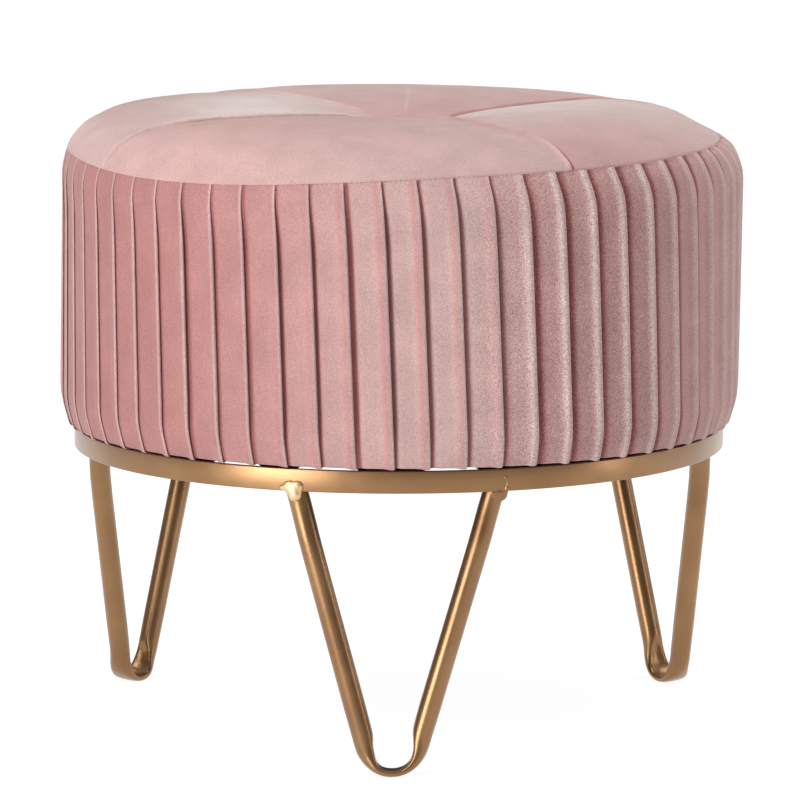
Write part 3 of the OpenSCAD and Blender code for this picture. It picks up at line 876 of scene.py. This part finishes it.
def applied(piece):
    """Replaces a piece's mesh by what its modifiers make of it."""
    shown = piece.evaluated_get(bpy.context.evaluated_depsgraph_get())
    mesh = bpy.data.meshes.new_from_object(shown)
    piece.modifiers.clear()
    piece.data = mesh
    shade_smooth(mesh)


def add_remesh(piece, voxel):
    remesh = piece.modifiers.new("remesh", "REMESH")
    remesh.mode = "VOXEL"
    remesh.voxel_size = voxel * MM


def coordinates(piece):
    """A piece's points in metres, one per row."""
    flat = np.empty(len(piece.data.vertices) * 3)
    piece.data.vertices.foreach_get("co", flat)
    return flat.reshape(-1, 3)


def pinned(points):
    """Points of the pad that the seams, the rim, the tuft and the board hold."""
    x, y, z = points.T
    r = np.hypot(x, y)
    azimuth = np.degrees(np.arctan2(x, -y))
    held = (z < rim_height(azimuth) - 2.0) | (r < BUTTON_R + 3.0)
    for seam in SEAMS:
        off = np.radians(azimuth_off(azimuth, seam.azimuth))
        held |= (np.abs(r * np.sin(off)) < 3.0) & (np.cos(off) > 0.0)
    return held


def inflate(pad):
    """Fills the pad by pressure between its seams, and limits how far a point may move."""
    add_remesh(pad, PAD_VOXEL)
    applied(pad)
    start = coordinates(pad)
    held = pinned(start / MM)
    group = pad.vertex_groups.new(name="held")
    group.add(np.flatnonzero(held).tolist(), 1.0, "REPLACE")
    cloth = pad.modifiers.new("cloth", "CLOTH")
    settings = cloth.settings
    settings.vertex_group_mass = group.name
    settings.quality = 5
    settings.mass = 0.3
    settings.use_pressure = True
    settings.uniform_pressure_force = PAD_PRESSURE
    settings.effector_weights.gravity = 0.0
    cloth.point_cache.frame_start = 1
    cloth.point_cache.frame_end = PAD_FRAMES
    for step in range(1, PAD_FRAMES + 1):
        bpy.context.scene.frame_set(step)
    applied(pad)
    bpy.context.scene.frame_set(1)
    moved = coordinates(pad) - start
    length = np.linalg.norm(moved, axis=1, keepdims=True)
    moved *= np.minimum(1.0, PAD_CAP * MM / np.maximum(length, 1e-9))
    pad.data.vertices.foreach_set("co", (start + moved).ravel())
    pad.vertex_groups.clear()
    pad.modifiers.new("smoother", "SUBSURF").levels = 1
    applied(pad)


def heights_over(pad):
    """How far the filled pad stands off the plain outline, on a grid of running lengths and azimuths."""
    tree = BVHTree.FromObject(pad, bpy.context.evaluated_depsgraph_get())
    reach = 15.0
    r, z, out_r, out_z = on_outline(PAD_S[:, None])
    above = polar(r + reach * out_r, z + reach * out_z, PAD_AZIMUTH[None, :]) * MM
    down = -polar(out_r, out_z, PAD_AZIMUTH[None, :])
    heights = np.full(above.shape[:2], -PAD_BELOW)
    for at in np.ndindex(heights.shape):
        distance = tree.ray_cast(Vector(above[at]), Vector(down[at]), 2 * reach * MM)[3]
        if distance is not None:
            heights[at] = reach - distance / MM
    for _ in range(4):
        heights = evened(heights)
    return heights + PAD_BELOW


def make_pad():
    """The foam pad under the four panels, and how it swells or sinks from the plain outline."""
    r = on_outline(PAD_S[:, None])[0]
    rim_s = length_at_height(rim_height(PAD_AZIMUTH))
    swell = rim_swell(PAD_S[:, None] - rim_s[None, :], PAD_AZIMUTH[None, :])
    start = seam_dips(r, PAD_AZIMUTH[None, :], 0.75, PAD_START) + swell
    pad = add_grid("seat_pad", pad_points(start - PAD_BELOW))
    inflate(pad)
    heights = heights_over(pad)
    pad.data.vertices.foreach_set("co", (leaned(coordinates(pad) / MM) * MM).ravel())
    pad.data.update()
    return pad, heights


def pillow(s, azimuth):
    """How far the pad lifts or lets down the cover at a running length and an azimuth."""
    row = np.clip((s - PAD_S[0]) / (PAD_S[1] - PAD_S[0]), 0.0, len(PAD_S) - 1.001)
    column = (azimuth % 360.0) / (360.0 / PAD_COLUMNS)
    i = row.astype(int)
    k = column.astype(int) % PAD_COLUMNS
    n = (k + 1) % PAD_COLUMNS
    u = row - i
    v = column - column.astype(int)
    low = PAD_SWELL[i, k] * (1 - v) + PAD_SWELL[i, n] * v
    high = PAD_SWELL[i + 1, k] * (1 - v) + PAD_SWELL[i + 1, n] * v
    return low * (1 - u) + high * u


def seat_pad(pad):
    finish_piece(pad, FOAM, "top_foam")


BUTTON_HIGH = 5.6
BUTTON_GATHERS = 15
GATHER_DEPTH = 0.22


def covered_button():
    """A covered button whose velvet is gathered round its edge."""
    angle = np.linspace(0.0, math.pi / 2, 16)[:-1]
    r = np.concatenate([[2.0, 9.0], BUTTON_R * np.cos(angle) ** 0.8, [0.4]])[:, None]
    high = np.concatenate([[-0.6, -0.6], 0.2 + BUTTON_HIGH * np.sin(angle), [0.2 + BUTTON_HIGH]])[:, None]
    azimuth = full_turn(96)[None, :]
    fold = np.sin(BUTTON_GATHERS * np.radians(azimuth - 90.0)) * np.minimum(1.0, r / BUTTON_R) ** 3
    points = polar(r + GATHER_DEPTH * fold, BUTTON_Z + high, azimuth) + (TOP_LEAN, 0.0, 0.0)
    button = add_grid("covered_button", points, nap=0.62, blush=0.25, speck=0.3)
    finish_piece(button, VELVET, "tuft_button")


# Underside

COVER_R = 188.0
COVER_Z = 181.8
COVER_SLACK = 1.4
# Azimuths and half widths where the cut edge is held up and light shows under the hem
LIGHT_GAPS = [(-29.5, 4.5), (-12.0, 5.0), (10.0, 4.5)]


def cover_shade_droop(r, azimuth):
    """How far the black cover hangs down at its cut edge, filling the gap under the hem with dark as a
    stand-in for shade, except where it is held up.
    """
    held_up = np.zeros(azimuth.shape)
    for centre, half in LIGHT_GAPS:
        held_up = np.maximum(held_up, fall(np.abs(azimuth_off(azimuth, centre)), half + 1.0, 2.0))
    droop = (3.5 + 0.2 * np.sin(9 * np.radians(azimuth))) * (1 - held_up) + 0.3
    return 1.1 * rise(r, 179.5, 3.0) + droop * rise(r, 181.0, 7.0)


def dust_cover():
    """A round sheet tacked under the seat, slack in its middle and hanging down at its cut edge, where its
    dark stands in for shade in the gap under the hem.
    """
    edge = [176.0, 178.0, 180.0, 181.5, 183.0, 184.5, 186.0, 187.0, COVER_R]
    r = np.concatenate([np.linspace(3.0, 174.0, 40), edge])[:, None]
    azimuth = full_turn(240)[None, :]
    tacked = r / HEM_TACK_R
    slack = COVER_SLACK * np.clip(1 - tacked**2, 0.0, 1.0)
    ripple = np.clip(tacked, 0.0, 1.0) ** 3 * np.cos(24 * np.radians(azimuth))
    ripple = 0.35 * ripple * np.clip((181.5 - r) / 20.0, 0.0, 1.0)
    points = polar(r, COVER_Z - slack + ripple - cover_shade_droop(r, azimuth), azimuth)
    count = azimuth.size
    faces = grid_faces(r.size, count, wrap=True) + fan_faces(r.size * count, 0, count)
    points = np.concatenate([points.reshape(-1, 3), [[0.0, 0.0, COVER_Z - COVER_SLACK]]])
    cloth = add_mesh("dust_sheet", points, faces)
    finish_piece(cloth, DUST_CLOTH, "dust_cover")


# Hoop and legs

HOOP_EDGE = 0.55


def hoop():
    """The flat bar with its rounded edges."""
    near, far = HOOP_IN_R + HOOP_EDGE, HOOP_R - HOOP_EDGE
    low, high = HOOP_Z + HOOP_EDGE, HOOP_TOP - HOOP_EDGE
    section = []
    for start, r, z in ((180, near, low), (270, far, low), (360, far, high), (450, near, high)):
        for angle in np.radians(start + 22.5 * np.arange(5)):
            section.append((r + HOOP_EDGE * math.cos(angle), z + HOOP_EDGE * math.sin(angle)))
    ring = lathe("hoop", section + section[:1], 360)
    finish_piece(ring, GOLD, "ring")


def turned(x, y, angle):
    """A pair of coordinates turned about the origin by an angle in degrees."""
    a = math.radians(angle)
    return x * math.cos(a) - y * math.sin(a), x * math.sin(a) + y * math.cos(a)


def in_leg(points, azimuth):
    """From a leg's own plane, X across and Z up it, to its place under the seat."""
    x, y, z = np.moveaxis(points, -1, 0)
    y, z = turned(y, z, -LEG_LEAN)
    if azimuth == 0.0:
        x = x - FRONT_FOOT_LEFT * (1 - z / STRUT_TOP)
    x, y = turned(x, y - FOOT_R, azimuth)
    return np.stack([x, y, z - FOOT_LAND], axis=-1)


def strut_end():
    """Length of a strut from the end of the bend to its cut top."""
    tilt = math.radians(STRUT_ANGLE)
    start = BEND_R - BEND_AXIS_R * math.sin(tilt)
    top = (STRUT_TOP + FOOT_LAND) / math.cos(math.radians(LEG_LEAN))
    return (top - start) / math.cos(tilt)


# Reach and ramp of the pressed part, and place of its spoon, along the tube to the left and right
PRESS_LEFT = (17.0, 12.0, 16.5)
PRESS_RIGHT = (25.0, 19.5, 21.0)
PRESS_EDGE = 4.0
SPOON_DEPTH = 3.6
SPOON_LONG = 4.8
SPOON_WIDE = 0.52
FOOT_LONG = 32.0
JOINT_LONG = 40.0
STEP_IN = 1.7
STEP_LOW = 36.0
STEP_LONG = 32.0


def leg_section(along):
    """Section of the bent tube at a signed length from the middle of its foot."""
    tilt = math.radians(STRUT_ANGLE)
    half = math.pi / 2 - tilt
    side = math.copysign(1.0, along)
    angle = min(abs(along) / BEND_AXIS_R, half)
    beyond = max(0.0, abs(along) - BEND_AXIS_R * half)
    reach, ramp, spoon_at = PRESS_LEFT if along < 0 else PRESS_RIGHT
    press = float(fall(abs(along), reach, ramp))
    half_w = TUBE_R + (BEND_W / 2 - TUBE_R) * press
    t = np.linspace(0.0, 2 * math.pi, 65)[:-1]
    upright = np.abs(np.cos(t))
    edge = PRESS_EDGE * press
    lip = BEND_LIP * press - TUBE_R * (1 - press)
    spoon = SPOON_DEPTH * hill(abs(along), spoon_at, SPOON_LONG)
    hollow = (BEND_HOLLOW * press + spoon) * hill(np.sin(t), 0.0, SPOON_WIDE)
    outer_side = edge + (TUBE_R - edge) * upright ** (1 - 0.55 * press)
    inner_side = edge + (lip - edge) * upright ** (1 - 0.6 * press) + hollow
    depth = np.where(np.cos(t) > 0, outer_side, inner_side)
    across = half_w * np.sign(np.sin(t)) * np.abs(np.sin(t)) ** (1 - 0.3 * press)
    radial = BEND_AXIS_R + depth
    x = side * (radial * math.sin(angle) + beyond * math.sin(tilt))
    z = BEND_R - radial * math.cos(angle) + beyond * math.cos(tilt)
    return np.stack([x, across, z], axis=-1)


def softened(rings, along):
    """Smooths the pressed foot and leaves the straight struts as they are."""
    share = fall(np.abs(along), FOOT_LONG + 4.0, 8.0)[:, None, None]
    for _ in range(11):
        rings = rings + share * (evened(rings) - rings)
    return rings


def behind_hoop_face(points):
    """Near the hoop a strut steps in a little, so that it doesn't stand out from the hoop's face."""
    r = np.hypot(points[..., 0], points[..., 1])
    step_in = STEP_IN * rise(points[..., 2], HOOP_Z - STEP_LOW, STEP_LONG)
    points[..., :2] *= (1 - step_in / r)[..., None]
    return points


def leg(name, azimuth):
    """A bent tube, with more sections at its foot and near the hoop."""
    length = BEND_AXIS_R * math.radians(90.0 - STRUT_ANGLE) + strut_end()
    foot = np.linspace(0.0, FOOT_LONG, 33)
    strut = np.linspace(FOOT_LONG, length - JOINT_LONG, 10)[1:]
    joint = np.linspace(length - JOINT_LONG, length, 31)[1:]
    along = np.concatenate([foot, strut, joint])
    along = np.concatenate([-along[:0:-1], along])
    points = in_leg(softened(np.array([leg_section(a) for a in along]), along), azimuth)
    points[..., 2] = np.maximum(points[..., 2], 0.0)
    points = behind_hoop_face(points)
    rows, count = points.shape[:2]
    ends = [points[0].mean(axis=0), points[-1].mean(axis=0)]
    faces = [face[::-1] for face in grid_faces(rows, count, wrap=True)]
    faces += fan_faces(rows * count, 0, count, outward=True)
    faces += fan_faces(rows * count + 1, (rows - 1) * count, count)
    tube = add_mesh(f"bent_{name}", np.concatenate([points.reshape(-1, 3), ends]), faces)
    finish_piece(tube, GOLD, name)


# Lumps of weld: place across the joint, up from the hoop's lower edge and out of its face, and radii
# in the same directions
BROAD_WELD = [
    (-2.0, 2.8, 0.0, 4.8, 3.7, 2.6), (2.2, 3.1, 0.0, 4.2, 3.5, 2.6), (0.2, 1.2, 0.2, 5.4, 4.2, 3.0),
    (1.2, -1.8, 0.5, 4.0, 4.2, 3.0), (-5.4, 2.0, -0.2, 3.4, 2.0, 2.0),
]
SMOOTH_WELD = [
    (1.0, -1.2, -1.6, 5.8, 5.4, 1.8), (5.0, 8.0, -0.3, 1.6, 1.5, 1.2), (6.0, 6.2, -0.3, 1.4, 2.0, 1.2),
    (6.3, 4.0, -0.3, 1.4, 2.2, 1.2), (5.8, 1.6, -0.3, 1.6, 2.2, 1.3),
]
PLAIN_WELD = [
    (0.0, 1.0, 0.1, 6.2, 1.8, 1.5), (-4.6, 0.4, 0.0, 2.4, 1.5, 1.2), (4.6, 0.4, 0.0, 2.4, 1.5, 1.2),
    (0.0, 3.4, -0.3, 4.8, 2.8, 1.1),
]
# A bead's distance from its leg's middle
WELD_ACROSS = 59.0
WELD_VOXEL = 0.4
WELD_SMOOTHING = 28


def weld_lumps(shape, azimuth, lumps):
    """Adds one bead's lumps on the hoop's outer face."""
    for across, up, out, radius_a, radius_u, radius_o in lumps:
        place = polar(HOOP_R + out, HOOP_Z + up, azimuth + math.degrees(across / HOOP_R))
        spin = Matrix.Rotation(math.radians(azimuth), 4, "Z")
        size = Matrix.Diagonal((radius_a, radius_o, radius_u, 1.0))
        where = Matrix.Scale(MM, 4) @ (Matrix.Translation(Vector(place)) @ spin @ size)
        bmesh.ops.create_icosphere(shape, subdivisions=3, radius=1.0, matrix=where)


def leg_welds():
    """Six beads of weld, run together and smoothed."""
    shape = bmesh.new()
    turn = math.degrees(math.asin(WELD_ACROSS / HOOP_R))
    for name, azimuth in LEGS.items():
        front = name == "leg_front"
        weld_lumps(shape, azimuth - turn, BROAD_WELD if front else PLAIN_WELD)
        weld_lumps(shape, azimuth + turn, SMOOTH_WELD if front else PLAIN_WELD)
    mesh = bpy.data.meshes.new("weld_beads")
    shape.to_mesh(mesh)
    shape.free()
    beads = placed("weld_beads", mesh)
    add_remesh(beads, WELD_VOXEL)
    smoother = beads.modifiers.new("smoother", "SMOOTH")
    smoother.factor = 0.5
    smoother.iterations = WELD_SMOOTHING
    applied(beads)
    # A painted highlight on the front-left bead of weld
    painted_highlight = [float(v.co.x < 0.0 and v.co.y < -150.0 * MM) for v in beads.data.vertices]
    add_layer(beads.data, "painted_highlight", painted_highlight)
    finish_piece(beads, GOLD, "leg_welds")


# CAD pieces that keep their shape

NODE_FINISH = {
    "tab_welds": GOLD, "mount_tab_1": GOLD, "mount_tab_2": GOLD, "mount_tab_3": GOLD,
    "bolts": ZINC, "washers": ZINC, "t_nuts": ZINC, "frame_screws": ZINC, "staples": ZINC,
    "twine_washer": ZINC, "spacers": RUBBER, "base_board": PLYWOOD, "top_board": PLYWOOD,
    "side_wall": WALL_BOARD, "twine": TWINE,
}


def finish_nodes():
    for name, node in frame["nodes"].items():
        material = POST_WOOD if name.startswith("post_") else NODE_FINISH.get(name)
        if material:
            node.data.materials.clear()
            node.data.materials.append(material)


# Stage

FLOOR_HALF = 30000.0


def floor_material():
    """Clear from below. The camera, metal and glass see it white with a soft shadow."""
    n = Nodes("floor")
    n.tree.nodes.remove(n.shader)
    path = n.add("ShaderNodeLightPath").outputs
    plain = n.add("ShaderNodeBsdfDiffuse", Color=(0.8, 0.8, 0.8))
    faint = n.add("ShaderNodeBsdfDiffuse", Color=(0.25, 0.25, 0.25))
    glow = n.add("ShaderNodeEmission", Color=(1.0, 1.0, 1.0), Strength=0.90)
    seen = n.add("ShaderNodeAddShader")
    n.link(faint.outputs[0], seen.inputs[0])
    n.link(glow.outputs[0], seen.inputs[1])
    sight = n.calculate("MAXIMUM", path["Is Camera Ray"], path["Is Glossy Ray"])
    sight = n.calculate("MAXIMUM", sight, path["Is Transmission Ray"])
    above = n.pick(sight, plain, seen)
    below = n.add("ShaderNodeNewGeometry").outputs["Backfacing"]
    whole = n.pick(below, above, n.add("ShaderNodeBsdfTransparent"))
    n.link(whole.outputs[0], n.tree.nodes["Material Output"].inputs["Surface"])
    return n.owner


def floor():
    corners = np.array([(-1, -1, 0), (1, -1, 0), (1, 1, 0), (-1, 1, 0)]) * FLOOR_HALF
    made = add_mesh("floor", corners, [(0, 1, 2, 3)])
    made.data.materials.append(floor_material())


# Name, azimuth and elevation from the seat, distance, width and height in metres, and watts
LAMPS = [
    ("key", -42.0, 33.0, 2.5, 0.9, 1.6, 25.0),
    ("strip", -38.0, -0.5, 1.4, 0.7, 0.36, 7.2),
    ("right_strip", 75.0, 8.0, 1.6, 0.2, 0.85, 2.4),
    ("fill", 112.0, 20.0, 2.6, 1.2, 1.5, 9.0),
    ("top", 120.0, 80.0, 2.6, 2.0, 2.0, 30.0),
]
LAMPS_AIM = (0.0, 0.0, 0.2)


def lamp(name, azimuth, elevation, distance, width, height, watts):
    light = bpy.data.lights.new(name, "AREA")
    light.shape = "RECTANGLE"
    light.size = width
    light.size_y = height
    light.energy = watts
    made = placed(name, light)
    a, e = math.radians(azimuth), math.radians(elevation)
    back = Vector((math.sin(a) * math.cos(e), -math.cos(a) * math.cos(e), math.sin(e)))
    made.location = Vector(LAMPS_AIM) + back * distance
    made.rotation_mode = "QUATERNION"
    made.rotation_quaternion = (-back).to_track_quat("-Z", "Y")
    made.visible_camera = False


def world():
    """White light from all round, stronger from above."""
    n = Nodes("studio", "worlds", "Background")
    bpy.context.scene.world = n.owner
    parts = n.add("ShaderNodeSeparateXYZ", Vector=n.add("ShaderNodeTexCoord").outputs["Generated"])
    n.set(Color=(1.0, 1.0, 1.0), Strength=n.span(parts.outputs["Z"], 0.0, 0.8, 0.12, 0.50))


# Metres and radians
CAMERA_FAR = 3.8364
CAMERA_HIGH = 0.7703
CAMERA_TURN = math.radians(0.6)
CAMERA_TILT = -0.1499
CAMERA_LENS = 289.03
CAMERA_SHIFT = 0.00145


def camera():
    data = bpy.data.cameras.new("camera")
    data.sensor_width = 36.0
    data.lens = CAMERA_LENS
    data.shift_x = CAMERA_SHIFT
    data.clip_end = 100.0
    made = placed("camera", data)
    x, y = CAMERA_FAR * math.sin(CAMERA_TURN), -CAMERA_FAR * math.cos(CAMERA_TURN)
    made.location = (x, y, CAMERA_HIGH)
    made.rotation_euler = (math.pi / 2 + CAMERA_TILT, 0.0, CAMERA_TURN)
    bpy.context.scene.camera = made


camera()
pleated_band()
PAD, PAD_SWELL = make_pad()
for panel in range(len(SEAMS)):
    top_panel(panel)
side_padding()
seat_pad(PAD)
covered_button()
dust_cover()
hoop()
for leg_name in LEGS:
    leg(leg_name, LEGS[leg_name])
leg_welds()
finish_nodes()
floor()
for lamp_values in LAMPS:
    lamp(*lamp_values)
world()
bpy.context.scene.view_settings.view_transform = "Standard"
